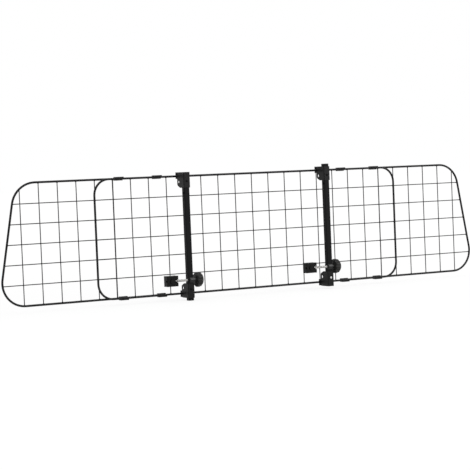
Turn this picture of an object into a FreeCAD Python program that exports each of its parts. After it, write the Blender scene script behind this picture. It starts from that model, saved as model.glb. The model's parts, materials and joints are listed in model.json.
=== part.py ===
import FreeCAD, Part
import Sketcher
import enum
import math
import os

# A telescopic car dog guard: a welded wire panel, two sliding side wings behind it and
# two square uprights in front of it, each with a screw clamp for a headrest post.
# +X is to the right as seen from the uprights' side, +Y away from the viewer, +Z up.
# The origin is under the middle of the whole guard, at the height of its lowest point.

DOC = FreeCAD.newDocument("CarDogGuard")

# Driving dimensions in millimetres; names that end in share are plain ratios
SIZES = (
    ("mesh_pitch", 50.0, "spacing of the mesh wires, both ways"),
    ("mesh_wire", 2.4, "diameter of a mesh wire"),
    ("cross_sink", 0.24, "depth that two crossing mesh wires are welded into each other"),
    ("end_sink", 0.6, "depth that a mesh wire's end is welded into the frame wire"),
    ("frame_wire", 5.5, "diameter of the frame wire"),
    ("frame_length", 900.0, "centre panel, between the centres of its end wires"),
    ("frame_height", 303.0, "all panels, between the centres of the top and bottom wires"),
    ("frame_corner", 40.0, "corner radius of the centre panel, to the wire's centre"),
    ("panel_shift", 4.0, "how far left of the wings' middle the centre panel stands"),
    ("layer_gap", 1.4, "air between the centre panel's wire and the wing's wire behind it"),
    ("wing_room", 38.0, "from a wing's outermost upright wire to its slanted wire at mid-height"),
    ("wing_slope_share", 0.182, "how far the slanted wire leans out for each unit down"),
    ("wing_top_corner", 62.0, "upper outer corner radius of a wing"),
    ("wing_bottom_corner", 58.0, "lower outer corner radius of a wing"),
    ("rail_lead", 134.0, "from a wing's innermost upright wire in to its rails' free end"),
    ("wing_first_wire", 400.0, "from the wings' middle to a wing's innermost upright wire"),
    ("wire_overhang", 1.5, "how far a wing's cross wires pass its innermost upright wire"),
    ("clip_length", 21.5, "length of a slide clip along its wire"),
    ("clip_wall", 1.8, "wall of a slide clip"),
    ("clip_play", 0.3, "radial play of a clip on the wire that it slides on"),
    ("clip_inset", 5.0, "from the wing's innermost upright wire to the outer clip"),
    ("clip_end_inset", 0.5, "from the rail's end to the inner clip"),
    ("clip_lip_lift", 0.4, "from the wire's centre to the end of the clip's front lip"),
    ("clip_corner", 1.2, "outer corner radius of a clip"),
    ("post_spacing", 420.0, "between the centres of the two uprights"),
    ("post_offset", 32.0, "from the centre of an upright to the centre panel's frame wire"),
    ("post_foot", 17.0, "from the near wire's centre to an upright's capped end"),
    ("tube_side", 15.0, "outer side of the square tube"),
    ("tube_wall", 1.5, "wall of the square tube"),
    ("tube_corner", 2.0, "outer corner radius of the square tube"),
    ("cap_head", 2.0, "thickness of an end cap's head"),
    ("cap_plug", 8.0, "depth of an end cap's plug in the tube"),
    ("cap_round", 1.2, "rounding of the cap's rim"),
    ("hook_overhang", 10.0, "from the frame wire's centre to a hook's outer face"),
    ("hook_plate", 3.7, "thickness of a hook's plate"),
    ("hook_wall", 1.6, "wall of a hook's sleeve around the tube"),
    ("hook_play", 0.1, "play of the sliding hook's sleeve on the tube"),
    ("hook_height", 40.0, "height of the fixed hook's sleeve, its plate included"),
    ("slide_hook_height", 37.5, "height of the sliding hook's sleeve, its plate included"),
    ("cheek_wall", 2.2, "wall of the two cheeks that reach back to the wire"),
    ("cheek_rise", 6.5, "height of the cheeks' slanted lower edge"),
    ("cheek_ledge", 5.0, "length of the flat at the cheeks' lower edge"),
    ("cheek_corner", 5.0, "corner radius between the cheeks' slanted and rear edges"),
    ("nose_gap", 0.3, "from the cheeks' rear edge to the frame wire"),
    ("nose_drop", 0.3, "from the wire's centre to the shoulder of the cheeks' nose"),
    ("arm_width", 10.0, "width of the hook's arm over the wires"),
    ("lip_wall", 2.5, "thickness of the hook's rear lip"),
    ("lip_drop", 7.0, "how far the lip reaches past the wire's centre"),
    ("lip_play", 0.35, "from the clips' back to the hook's lip"),
    ("window_width", 8.0, "diameter of the round window in each cheek"),
    ("window_drop", 15.0, "from the wire's centre to the window's centre"),
    ("window_reach", 21.5, "from the tube's centre to the window's centre"),
    ("sleeve_corner", 2.2, "corner radius of a hook's sleeve"),
    ("screw_drop", 23.0, "from a hook's outer face to its screw"),
    ("screw_shank", 2.9, "diameter of a hook screw"),
    ("screw_length", 6.5, "length of the fixed hook's screw under its head"),
    ("screw_head", 6.0, "diameter of a hook screw's head"),
    ("screw_head_height", 2.0, "height of a hook screw's head"),
    ("bolt_width", 6.0, "diameter of the clamp's threaded stud"),
    ("bolt_play", 0.1, "radial play of the stud in the tube, the saddle and the jaw"),
    ("bolt_length", 76.0, "length of the stud outside the knob's hub"),
    ("bolt_grip", 12.0, "length of the stud inside the knob"),
    ("bolt_forward", 2.6, "how far the stud stands in front of the tube's centre"),
    ("bolt_height", 53.0, "from an upright's end to the stud"),
    ("stud_chamfer", 0.8, "chamfer on the stud's free end"),
    ("saddle_width", 22.0, "diameter of the saddle that straddles the tube under the knob"),
    ("saddle_height", 14.0, "height of the saddle between its two flats"),
    ("saddle_floor", 2.4, "thickness of the saddle between the tube and the washer"),
    ("saddle_reach", 7.2, "how far the saddle's legs reach past the tube's centre"),
    ("saddle_play", 0.1, "play of the tube between the saddle's legs"),
    ("left_clamp_slack", 3.5, "how far the left clamp stands off its upright, as photographed"),
    ("right_clamp_slack", 0.3, "how far the right clamp stands off its upright"),
    ("washer_width", 12.0, "outer diameter of the washer under the knob"),
    ("washer_thick", 1.6, "thickness of the washer"),
    ("knob_width", 38.5, "diameter of the star knob over its lobes"),
    ("knob_thick", 16.5, "thickness of the star part"),
    ("knob_hub", 0.8, "height of the knob's hub under the star"),
    ("hub_width", 17.0, "diameter of the knob's hub"),
    ("knob_round", 2.0, "chamfer round the rim of the knob's inner face"),
    ("knob_crown", 5.0, "chamfer round the rim of the knob's outer face"),
    ("knob_dish", 2.0, "depth of the dish in the knob's outer face"),
    ("dish_width", 20.0, "diameter of the dish"),
    ("flute_width", 9.0, "diameter of a flute between two lobes"),
    ("flute_bite", 3.0, "depth of a flute"),
    ("lobe_turn", 16.0, "angle in degrees that the lobes stand turned from the front"),
    ("jaw_length", 32.0, "length of the clamp jaw along the stud"),
    ("jaw_height", 27.0, "height of the clamp jaw"),
    ("jaw_front", 4.0, "from the stud's centre to the jaw's front face"),
    ("jaw_back", 16.5, "from the stud's centre to the jaw's back face"),
    ("jaw_corner", 1.5, "corner radius of the jaw's upright edges"),
    ("jaw_slot_length", 10.0, "length of the slot that the stud shows in"),
    ("jaw_slot_height", 8.0, "height of that slot"),
    ("left_jaw_opening", 34.5, "from the left upright's centre to its jaw, as photographed"),
    ("right_jaw_opening", 41.0, "from the right upright's centre to its jaw"),
    ("rod_width", 12.0, "diameter of the headrest post that the clamp takes"),
    ("groove_depth", 3.5, "depth of the jaw's groove for the headrest post"),
    ("rod_gap", 0.2, "air between the stud and the headrest post behind it"),
    ("boss_width", 14.0, "diameter of the round boss over the nut"),
    ("boss_height", 2.0, "height of that boss"),
    ("nut_width", 10.0, "width of the nut across its flats"),
    ("nut_thick", 5.0, "thickness of the nut"),
    ("nut_play", 0.1, "play of the nut in its pocket"),
    ("nut_inset", 16.0, "from the jaw's end to the nut's centre"),
    ("overrun", 1.0, "how far a cut runs past the face that it opens"),
)

UPRIGHT_COUNT = 17
CROSS_COUNT = 5
WING_UPRIGHT_COUNT = 6
LOBE_COUNT = 9
HEXAGON_SIDE_COUNT = 6
WHOLE_TURN = 360
HALF_TURN = 180
QUARTER_TURN = 90

SHEET = DOC.addObject("Spreadsheet::Sheet", "Sizes")
for row, (alias, number, meaning) in enumerate(SIZES, start=1):
    SHEET.set(f"A{row}", meaning)
    SHEET.set(f"B{row}", str(number))
    SHEET.setAlias(f"B{row}", alias)
DOC.recompute()


class Size:
    """A size in millimetres together with the sheet formula that gives it."""

    def __init__(self, number, formula):
        self.number = number
        self.formula = formula

    @staticmethod
    def of(value):
        if isinstance(value, Size):
            return value
        return Size(float(value), repr(value))

    def __add__(self, other):
        other = Size.of(other)
        return Size(self.number + other.number, f"({self.formula} + {other.formula})")

    def __sub__(self, other):
        other = Size.of(other)
        return Size(self.number - other.number, f"({self.formula} - {other.formula})")

    def __mul__(self, other):
        other = Size.of(other)
        return Size(self.number * other.number, f"{self.formula} * {other.formula}")

    def __truediv__(self, other):
        other = Size.of(other)
        return Size(self.number / other.number, f"{self.formula} / {other.formula}")

    def __neg__(self):
        return Size(-self.number, f"(0 - {self.formula})")

    def root(self):
        return Size(math.sqrt(self.number), f"sqrt({self.formula})")


def size(alias):
    return Size(float(SHEET.get(alias)), f"Sizes.{alias}")


ZERO = Size(0.0, "0")

# Lines and places that several pieces share
wire_radius = size("frame_wire") / 2
mesh_radius = size("mesh_wire") / 2
half_height = size("frame_height") / 2
half_length = size("frame_length") / 2
layer_step = size("frame_wire") + size("layer_gap")
mesh_step = (size("mesh_wire") - size("cross_sink")) / 2
clip_back = layer_step + wire_radius + size("clip_wall")
clip_reach = wire_radius + size("clip_play") + size("clip_wall")
lip_front = clip_back + size("lip_play")
lip_back = lip_front + size("lip_wall")
hook_top = half_height + size("hook_overhang")
panel_x = -size("panel_shift")
post_length = size("frame_height") + size("hook_overhang") + size("post_foot")
middle_z = half_height + size("post_foot")
front_reach = size("post_offset") + size("bolt_forward") + size("knob_width") / 2
panel_y = (front_reach - lip_back) / 2
wing_y = panel_y + layer_step
post_y = panel_y - size("post_offset")
bolt_y = post_y - size("bolt_forward")
half_tube = size("tube_side") / 2
washer_start = half_tube + size("saddle_play") + size("saddle_floor")
hub_start = washer_start + size("washer_thick")
rail_end = size("wing_first_wire") - size("rail_lead")
wing_end = (size("wing_first_wire") + size("mesh_pitch") * (WING_UPRIGHT_COUNT - 1)
            + size("wing_room"))
# A hexagon's points stand this share of its width from its centre
hexagon_reach = 1 / math.sqrt(3)


def bind(item, prop, value):
    """Tie one property of an object to the sheet."""
    value = Size.of(value)
    item.setExpression(prop, value.formula)


def place(item, x, y, z, axis=None, angle=0):
    """Put an object at a place that follows the sheet, turned by a fixed angle."""
    turn = FreeCAD.Rotation(axis, angle) if axis else FreeCAD.Rotation()
    item.Placement = FreeCAD.Placement(FreeCAD.Vector(x.number, y.number, z.number), turn)
    bind(item, "Placement.Base.x", x)
    bind(item, "Placement.Base.y", y)
    bind(item, "Placement.Base.z", z)


X_AXIS = FreeCAD.Vector(1, 0, 0)
Y_AXIS = FreeCAD.Vector(0, 1, 0)
Z_AXIS = FreeCAD.Vector(0, 0, 1)


class SketchAxis(enum.IntEnum):
    """The numbers that a sketch gives its own axes."""

    HORIZONTAL = -1
    VERTICAL = -2


class SketchPoint(enum.IntEnum):
    """The numbers that a sketch gives the points of an edge."""

    START = 1
    END = 2
    CENTRE = 3


START, END, CENTRE = SketchPoint.START, SketchPoint.END, SketchPoint.CENTRE


def new_body(label):
    body = DOC.addObject("PartDesign::Body", label)
    body.Label = label
    return body


def origin_plane(body, role):
    return next(item for item in body.Origin.OriginFeatures if item.Role == role)


def new_sketch(body, name, role, offset=ZERO):
    """A sketch on one of the body's own origin planes, moved along its normal."""
    sketch = body.newObject("Sketcher::SketchObject", name)
    sketch.AttachmentSupport = [(origin_plane(body, role), "")]
    sketch.MapMode = "FlatFace"
    bind(sketch, "AttachmentOffset.Base.z", offset)
    return sketch


def pin(sketch, geometry, point, x, y):
    """Hold a point of a sketch at a place that follows the sheet, or one way only."""
    for kind, value, axis in (("DistanceX", x, SketchAxis.VERTICAL), ("DistanceY", y, SketchAxis.HORIZONTAL)):
        if value is None:
            continue
        if value.formula == ZERO.formula:
            sketch.addConstraint(Sketcher.Constraint("PointOnObject", geometry, point, axis))
            continue
        row = sketch.addConstraint(
            Sketcher.Constraint(kind, SketchAxis.HORIZONTAL, START, geometry, point, value.number))
        bind(sketch, f"Constraints[{row}]", value)


def draw_outline(sketch, corners):
    """A closed outline of straight lines through corners that follow the sheet."""
    spots = [FreeCAD.Vector(x.number, y.number, 0) for x, y in corners]
    first = sketch.GeometryCount
    count = len(spots)
    for step in range(count):
        sketch.addGeometry(Part.LineSegment(spots[step], spots[(step + 1) % count]), False)
    for step in range(count):
        follower = first + (step + 1) % count
        sketch.addConstraint(
            Sketcher.Constraint("Coincident", first + step, END, follower, START))
    for step, (x, y) in enumerate(corners):
        pin(sketch, first + step, START, x, y)


def draw_circle(sketch, x, y, radius):
    spot = FreeCAD.Vector(x.number, y.number, 0)
    row = sketch.addGeometry(Part.Circle(spot, Z_AXIS, radius.number), False)
    pin(sketch, row, CENTRE, x, y)
    rule = sketch.addConstraint(Sketcher.Constraint("Radius", row, radius.number))
    bind(sketch, f"Constraints[{rule}]", radius)


def box_corners(left, right, low, high):
    return [(left, low), (right, low), (right, high), (left, high)]


def pad(body, name, sketch, length, midplane=False, reverse=False):
    feature = body.newObject("PartDesign::Pad", name)
    feature.Profile = sketch
    bind(feature, "Length", length)
    feature.Midplane = midplane
    feature.Reversed = reverse
    DOC.recompute()
    return feature


def pocket(body, name, sketch, length, midplane=False, reverse=False):
    """A cut of stated depth; it must take material away."""
    before = body.Shape.Volume
    feature = body.newObject("PartDesign::Pocket", name)
    feature.Profile = sketch
    bind(feature, "Length", length)
    feature.Midplane = midplane
    feature.Reversed = reverse
    DOC.recompute()
    if body.Shape.Volume >= before:
        raise RuntimeError(f"{body.Label}: {name} cuts nothing")
    return feature


def edges_where(shape, test):
    """Names of the edges whose middle point and direction pass a test."""
    names = []
    for number, edge in enumerate(shape.Edges, start=1):
        if not isinstance(edge.Curve, Part.Line):
            continue
        middle = edge.CenterOfMass
        if test(middle, edge.Curve.Direction):
            names.append(f"Edge{number}")
    return names


def near(value, target):
    return abs(value - target.number) < Part.Precision.approximation()


def round_edges(body, name, base, test, radius, kind="PartDesign::Fillet", prop="Radius"):
    names = edges_where(base.Shape, test)
    if not names:
        raise RuntimeError(f"{body.Label}: {name} finds no edge")
    feature = body.newObject(kind, name)
    feature.Base = (base, names)
    bind(feature, prop, radius)
    DOC.recompute()
    return feature


def cylinder(name, radius, length, x, y, z, axis=None, angle=0):
    item = DOC.addObject("Part::Cylinder", name)
    bind(item, "Radius", radius)
    bind(item, "Height", length)
    place(item, x, y, z, axis, angle)
    return item


def group(label, items):
    """Several equal pieces that share one node."""
    compound = DOC.addObject("Part::Compound", label)
    compound.Label = label
    compound.Links = items
    return compound


def sweep_wire(body, path, start_x, start_z, y, profile_role="YZ_Plane"):
    """A round wire swept along a flat path that starts along X."""
    profile = new_sketch(body, f"{body.Label}_section", profile_role, start_x)
    draw_circle(profile, y, start_z, wire_radius)
    pipe = body.newObject("PartDesign::AdditivePipe", f"{body.Label}_wire")
    pipe.Profile = profile
    pipe.Spine = path
    DOC.recompute()
    return pipe


def arc_through(centre_x, centre_y, radius, start_angle, end_angle):
    circle = Part.Circle(FreeCAD.Vector(centre_x, centre_y, 0), Z_AXIS, radius)
    return Part.ArcOfCircle(circle, math.radians(start_angle), math.radians(end_angle))


def add_radius(sketch, row, radius):
    rule = sketch.addConstraint(Sketcher.Constraint("Radius", row, radius.number))
    bind(sketch, f"Constraints[{rule}]", radius)


def join_tangent(sketch, first, first_end, second, second_end):
    sketch.addConstraint(Sketcher.Constraint("Tangent", first, first_end, second, second_end))


def make_centre_frame():
    """The closed loop of frame wire round the centre panel."""
    body = new_body("centre_frame")
    # The XZ plane's sketch has X to the right and Z up; its normal points to -Y
    path = new_sketch(body, "centre_frame_path", "XZ_Plane", -panel_y)
    left, right = panel_x - half_length, panel_x + half_length
    low, high = middle_z - half_height, middle_z + half_height
    corner = size("frame_corner")
    seam = panel_x

    def spot(x, z):
        return FreeCAD.Vector(x.number, z.number, 0)

    def line(x_1, z_1, x_2, z_2):
        return path.addGeometry(Part.LineSegment(spot(x_1, z_1), spot(x_2, z_2)), False)

    def bend(x, z, start_angle):
        arc = arc_through(x.number, z.number, corner.number,
                          start_angle, start_angle + QUARTER_TURN)
        return path.addGeometry(arc, False)

    run = line(seam, low, right - corner, low)
    turn = bend(right - corner, low + corner, -QUARTER_TURN)
    rise = line(right, low + corner, right, high - corner)
    turn_2 = bend(right - corner, high - corner, 0)
    back = line(right - corner, high, left + corner, high)
    turn_3 = bend(left + corner, high - corner, QUARTER_TURN)
    fall = line(left, high - corner, left, low + corner)
    turn_4 = bend(left + corner, low + corner, HALF_TURN)
    close = line(left + corner, low, seam, low)
    chain = (run, turn, rise, turn_2, back, turn_3, fall, turn_4, close)
    for first, second in zip(chain, chain[1:]):
        join_tangent(path, first, END, second, START)
    for arc in (turn, turn_2, turn_3, turn_4):
        add_radius(path, arc, corner)
    path.addConstraint(Sketcher.Constraint("Coincident", close, END, run, START))
    path.addConstraint(Sketcher.Constraint("Horizontal", run))
    pin(path, run, START, seam, low)
    pin(path, rise, START, right, low + corner)
    pin(path, back, START, right - corner, high)
    pin(path, fall, START, left, high - corner)
    DOC.recompute()
    sweep_wire(body, path, seam, low, panel_y)
    return body


def mesh_upright(name, x, y, low, high):
    return cylinder(name, mesh_radius, high - low, x, y, low)


def mesh_cross(name, left, right, y, z):
    return cylinder(name, mesh_radius, right - left, left, y, z, Y_AXIS, QUARTER_TURN)


def make_centre_mesh():
    """Upright and cross wires of the centre panel, welded into its frame wire."""
    reach = half_height - wire_radius + size("end_sink")
    uprights = []
    for step in range(UPRIGHT_COUNT):
        x = panel_x + size("mesh_pitch") * (step - (UPRIGHT_COUNT - 1) / 2)
        uprights.append(mesh_upright(f"centre_upright_{step + 1}", x, panel_y - mesh_step,
                                     middle_z - reach, middle_z + reach))
    crosses = []
    side = half_length - wire_radius + size("end_sink")
    for step in range(CROSS_COUNT):
        z = middle_z + size("mesh_pitch") * (step - (CROSS_COUNT - 1) / 2)
        crosses.append(mesh_cross(f"centre_cross_{step + 1}", panel_x - side, panel_x + side,
                                  panel_y + mesh_step, z))
    return [group("centre_upright_wires", uprights), group("centre_cross_wires", crosses)]


# The slanted wire leans by this share of its length for each unit of height
lean = size("wing_slope_share")
lean_length = (lean * lean + 1).root()
top_bend_z = half_height - size("wing_top_corner")
top_bend_x = wing_end - lean * top_bend_z - size("wing_top_corner") * lean_length
low_bend_z = -half_height + size("wing_bottom_corner")
low_bend_x = wing_end - lean * low_bend_z - size("wing_bottom_corner") * lean_length


def make_wing_frame(side_name, side):
    """The open loop of frame wire of one wing, with two long rails and a slanted end."""
    body = new_body(f"{side_name}_wing_frame")
    path = new_sketch(body, f"{side_name}_wing_path", "XZ_Plane", -wing_y)
    slant = math.degrees(math.atan(lean.number))
    top_corner, low_corner = size("wing_top_corner"), size("wing_bottom_corner")
    top_touch_x = top_bend_x + top_corner / lean_length
    top_touch_z = top_bend_z + top_corner * lean / lean_length
    low_touch_x = low_bend_x + low_corner / lean_length
    low_touch_z = low_bend_z + low_corner * lean / lean_length

    def spot(x, z):
        return FreeCAD.Vector(side * x.number, middle_z.number + z.number, 0)

    def line(x_1, z_1, x_2, z_2):
        return path.addGeometry(Part.LineSegment(spot(x_1, z_1), spot(x_2, z_2)), False)

    def bend(x, z, corner, start_angle, end_angle):
        if side < 0:
            start_angle, end_angle = HALF_TURN - end_angle, HALF_TURN - start_angle
        centre = spot(x, z)
        return path.addGeometry(
            arc_through(centre.x, centre.y, corner.number, start_angle, end_angle), False)

    low_rail = line(rail_end, -half_height, low_bend_x, -half_height)
    low_turn = bend(low_bend_x, low_bend_z, low_corner, -QUARTER_TURN, slant)
    end_wire = line(low_touch_x, low_touch_z, top_touch_x, top_touch_z)
    top_turn = bend(top_bend_x, top_bend_z, top_corner, slant, QUARTER_TURN)
    top_rail = line(top_bend_x, half_height, rail_end, half_height)
    # An arc runs anticlockwise, so its ends swap on the mirrored wing
    arc_start, arc_end = (START, END) if side > 0 else (END, START)
    for first, first_end, second, second_end in (
            (low_rail, END, low_turn, arc_start), (low_turn, arc_end, end_wire, START),
            (end_wire, END, top_turn, arc_start), (top_turn, arc_end, top_rail, START)):
        path.addConstraint(
            Sketcher.Constraint("Coincident", first, first_end, second, second_end))
    pin(path, low_rail, START, rail_end * side, middle_z - half_height)
    pin(path, low_rail, END, low_bend_x * side, middle_z - half_height)
    pin(path, low_turn, CENTRE, low_bend_x * side, middle_z + low_bend_z)
    pin(path, end_wire, START, None, middle_z + low_touch_z)
    pin(path, end_wire, END, None, middle_z + top_touch_z)
    pin(path, top_turn, CENTRE, top_bend_x * side, middle_z + top_bend_z)
    pin(path, top_rail, START, top_bend_x * side, middle_z + half_height)
    pin(path, top_rail, END, rail_end * side, middle_z + half_height)
    DOC.recompute()
    sweep_wire(body, path, rail_end * side, middle_z - half_height, wing_y)
    return body


def wing_edge_height(x, bend_x, corner, straight):
    """Height of the frame wire's centre over the wing's middle, at a distance x out."""
    if x.number <= bend_x.number:
        return straight
    aside = x - bend_x
    return straight - corner + (corner * corner - aside * aside).root()


def make_wing_mesh(side_name, side):
    inner = size("end_sink") - wire_radius
    uprights = []
    for step in range(WING_UPRIGHT_COUNT):
        x = size("wing_first_wire") + size("mesh_pitch") * step
        top = wing_edge_height(x, top_bend_x, size("wing_top_corner"), half_height)
        low = wing_edge_height(x, low_bend_x, size("wing_bottom_corner"), half_height)
        uprights.append(mesh_upright(
            f"{side_name}_wing_upright_{step + 1}", x * side, wing_y - mesh_step,
            middle_z - low - inner, middle_z + top + inner))
    crosses = []
    start = size("wing_first_wire") - size("wire_overhang")
    for step in range(CROSS_COUNT):
        z = size("mesh_pitch") * (step - (CROSS_COUNT - 1) / 2)
        end = wing_end - lean * z
        low_corner = size("wing_bottom_corner")
        if z.number < low_bend_z.number:
            drop = low_bend_z - z
            end = low_bend_x + (low_corner * low_corner - drop * drop).root()
        end = end + inner
        left, right = (start, end) if side > 0 else (-end, -start)
        crosses.append(mesh_cross(f"{side_name}_wing_cross_{step + 1}", left, right,
                                  wing_y + mesh_step, middle_z + z))
    return [group(f"{side_name}_wing_upright_wires", uprights),
            group(f"{side_name}_wing_cross_wires", crosses)]


def make_clip(label, start_x, up):
    """A clip crimped round a wing's rail, with a lip over the centre panel's wire."""
    body = new_body(label)
    wire_z = middle_z + half_height * up
    edge = wire_radius + size("clip_play")
    section = new_sketch(body, f"{label}_section", "YZ_Plane", start_x)
    lip_z = wire_z + size("clip_lip_lift") * up
    top_z = wire_z + clip_reach * up
    low_z = wire_z - (wire_radius + size("clip_wall")) * up
    draw_outline(section, [
        (panel_y - clip_reach, lip_z), (panel_y - clip_reach, top_z),
        (panel_y + clip_back, top_z), (panel_y + clip_back, low_z),
        (panel_y + edge, low_z), (panel_y + edge, lip_z)])
    block = pad(body, f"{label}_block", section, size("clip_length"))
    channel = new_sketch(body, f"{label}_channel", "YZ_Plane", start_x)
    draw_circle(channel, panel_y, wire_z, edge)
    pocket(body, f"{label}_channel_cut", channel, size("clip_length"), reverse=True)
    bore = new_sketch(body, f"{label}_bore", "YZ_Plane", start_x)
    draw_circle(bore, wing_y, wire_z, wire_radius)
    cut = pocket(body, f"{label}_bore_cut", bore, size("clip_length"), reverse=True)

    def outer_corner(middle, direction):
        if not near(abs(direction.x), Size.of(1)):
            return False
        at_top = near(middle.z, top_z) and (
            near(middle.y, panel_y - clip_reach) or near(middle.y, panel_y + clip_back))
        return at_top or (near(middle.z, low_z) and near(middle.y, panel_y + clip_back))

    round_edges(body, f"{label}_corners", cut, outer_corner, size("clip_corner"))
    return body


def make_clips(side_name, side):
    outer = size("wing_first_wire") - size("clip_inset")
    inner = rail_end + size("clip_end_inset")
    clips = []
    for height_name, up in (("top", 1), ("bottom", -1)):
        for place_name, near_end in (("outer", outer - size("clip_length")), ("inner", inner)):
            start = near_end if side > 0 else -near_end - size("clip_length")
            clips.append(make_clip(f"{side_name}_{height_name}_{place_name}_clip", start, up))
    return clips


def square_corners(half):
    return box_corners(-half, half, -half, half)


def upright_edge(middle, direction):
    return abs(direction.z) > abs(direction.x) + abs(direction.y)


def make_tube(side_name, x, flip):
    """The square steel tube, drawn with its fixed hook's end up, then turned over."""
    body = new_body(f"{side_name}_post_tube")
    length = post_length - size("hook_plate") - size("cap_head")
    top = size("hook_overhang") - size("hook_plate")
    outer = new_sketch(body, f"{side_name}_tube_outer", "XY_Plane", top - length)
    draw_outline(outer, square_corners(half_tube))
    block = pad(body, f"{side_name}_tube_block", outer, length)
    round_edges(body, f"{side_name}_tube_corners", block, upright_edge, size("tube_corner"))
    inside = new_sketch(body, f"{side_name}_tube_inner", "XY_Plane", top - length)
    draw_outline(inside, square_corners(half_tube - size("tube_wall")))
    pocket(body, f"{side_name}_tube_bore", inside, length, reverse=True)
    # A hole for the stud near each end, so one tube serves either way up
    far_hole = size("hook_overhang") - post_length + size("bolt_height")
    near_hole = size("hook_overhang") - size("bolt_height")
    holes = new_sketch(body, f"{side_name}_tube_stud_holes", "YZ_Plane")
    for z in (far_hole, near_hole):
        draw_circle(holes, -size("bolt_forward"), z, size("bolt_width") / 2 + size("bolt_play"))
    pocket(body, f"{side_name}_tube_stud_cut", holes, size("tube_side") + size("overrun"),
           midplane=True)
    screws = new_sketch(body, f"{side_name}_tube_screw_hole", "XZ_Plane", size("tube_side"))
    draw_circle(screws, ZERO, size("hook_overhang") - size("screw_drop"),
                size("screw_shank") / 2)
    pocket(body, f"{side_name}_tube_screw_cut", screws, size("tube_side"))
    place(body, x, post_y, middle_z + half_height * flip, *turn_over(flip))
    return body


def turn_over(flip):
    """Pieces of an upright are drawn for its top and turned about Y for its bottom."""
    return (Y_AXIS, 0) if flip > 0 else (Y_AXIS, HALF_TURN)


def make_cap(side_name, x, flip):
    """The plastic plug that closes the tube's free end."""
    label = f"{side_name}_post_cap"
    body = new_body(label)
    low = size("hook_overhang") - post_length
    head = new_sketch(body, f"{label}_head", "XY_Plane", low)
    draw_outline(head, square_corners(half_tube))
    block = pad(body, f"{label}_head_pad", head, size("cap_head"))
    rounded = round_edges(body, f"{label}_corners", block, upright_edge, size("tube_corner"))

    def low_rim(middle, direction):
        return near(middle.z, low)

    round_edges(body, f"{label}_rim", rounded, low_rim, size("cap_round"))
    plug = new_sketch(body, f"{label}_plug", "XY_Plane", low + size("cap_head"))
    draw_outline(plug, square_corners(half_tube - size("tube_wall")))
    pad(body, f"{label}_plug_pad", plug, size("cap_plug"))
    hollow = new_sketch(body, f"{label}_hollow", "XY_Plane", low + size("cap_head"))
    draw_outline(hollow, square_corners(half_tube - size("tube_wall") * 2))
    pocket(body, f"{label}_hollow_cut", hollow, size("cap_plug"), reverse=True)
    place(body, x, post_y, middle_z + half_height * flip, *turn_over(flip))
    return body


def make_hook(label, x, flip, sliding):
    """A moulded hook: sleeve on the tube, two cheeks, and an arm over the frame wires."""
    body = new_body(label)
    bore_half = half_tube + size("hook_play") if sliding else half_tube
    sleeve_half = half_tube + size("hook_play") + size("hook_wall")
    top = size("hook_overhang")
    under = top - size("hook_plate")
    height = size("slide_hook_height") if sliding else size("hook_height")
    low = top - height
    nose = size("post_offset") - wire_radius - size("nose_gap")
    shoulder = size("post_offset") - clip_reach - size("lip_play")
    ledge = sleeve_half + size("cheek_ledge")
    side = new_sketch(body, f"{label}_side", "YZ_Plane")
    draw_outline(side, [
        (-sleeve_half, low), (ledge, low), (nose, low + size("cheek_rise")),
        (nose, -size("nose_drop")), (shoulder, -size("nose_drop")), (shoulder, top),
        (-sleeve_half, top)])
    block = pad(body, f"{label}_block", side, sleeve_half * 2, midplane=True)

    def nose_edge(middle, direction):
        return near(middle.y, nose) and near(middle.z, low + size("cheek_rise"))

    rounded = round_edges(body, f"{label}_cheek_round", block, nose_edge,
                          size("cheek_corner"))

    def front_edge(middle, direction):
        return upright_edge(middle, direction) and near(middle.y, -sleeve_half)

    round_edges(body, f"{label}_sleeve_round", rounded, front_edge, size("sleeve_corner"))
    channel = new_sketch(body, f"{label}_channel", "XY_Plane", low)
    inside = sleeve_half - size("cheek_wall")
    draw_outline(channel, box_corners(-inside, inside, sleeve_half, nose + size("overrun")))
    pocket(body, f"{label}_channel_cut", channel, under - low, reverse=True)
    arm = new_sketch(body, f"{label}_arm", "YZ_Plane")
    arm_start = shoulder - size("arm_width")
    lip_outer = size("post_offset") + lip_back
    lip_inner = size("post_offset") + lip_front
    draw_outline(arm, [
        (arm_start, under), (lip_inner, under), (lip_inner, -size("lip_drop")),
        (lip_outer, -size("lip_drop")), (lip_outer, top), (arm_start, top)])
    pad(body, f"{label}_arm_pad", arm, size("arm_width"), midplane=True)
    bore = new_sketch(body, f"{label}_bore", "XY_Plane", low)
    draw_outline(bore, square_corners(bore_half))
    bore_depth = height if sliding else under - low
    pocket(body, f"{label}_bore_cut", bore, bore_depth, reverse=True)
    windows = new_sketch(body, f"{label}_window", "YZ_Plane")
    draw_circle(windows, size("window_reach"), -size("window_drop"), size("window_width") / 2)
    pocket(body, f"{label}_window_cut", windows, (sleeve_half + size("overrun")) * 2,
           midplane=True)
    hole = new_sketch(body, f"{label}_screw_hole", "XZ_Plane", sleeve_half + size("overrun"))
    draw_circle(hole, ZERO, top - size("screw_drop"), size("screw_shank") / 2)
    pocket(body, f"{label}_screw_cut", hole, sleeve_half + size("overrun"))
    place(body, x, post_y, middle_z + half_height * flip, *turn_over(flip))
    return body


def make_hook_screw(label, x, flip, length):
    """A pan-head screw in the sleeve's front wall; the sliding hook's presses on the tube."""
    front = half_tube + size("hook_play") + size("hook_wall")
    z = middle_z + (half_height + size("hook_overhang") - size("screw_drop")) * flip
    shank = cylinder(f"{label}_shank", size("screw_shank") / 2, length,
                     x, post_y - front, z, X_AXIS, -QUARTER_TURN)
    head = cylinder(f"{label}_head", size("screw_head") / 2, size("screw_head_height"),
                    x, post_y - front, z, X_AXIS, QUARTER_TURN)
    screw = DOC.addObject("Part::Fuse", label)
    screw.Label = label
    screw.Base = shank
    screw.Tool = head
    return screw


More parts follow.
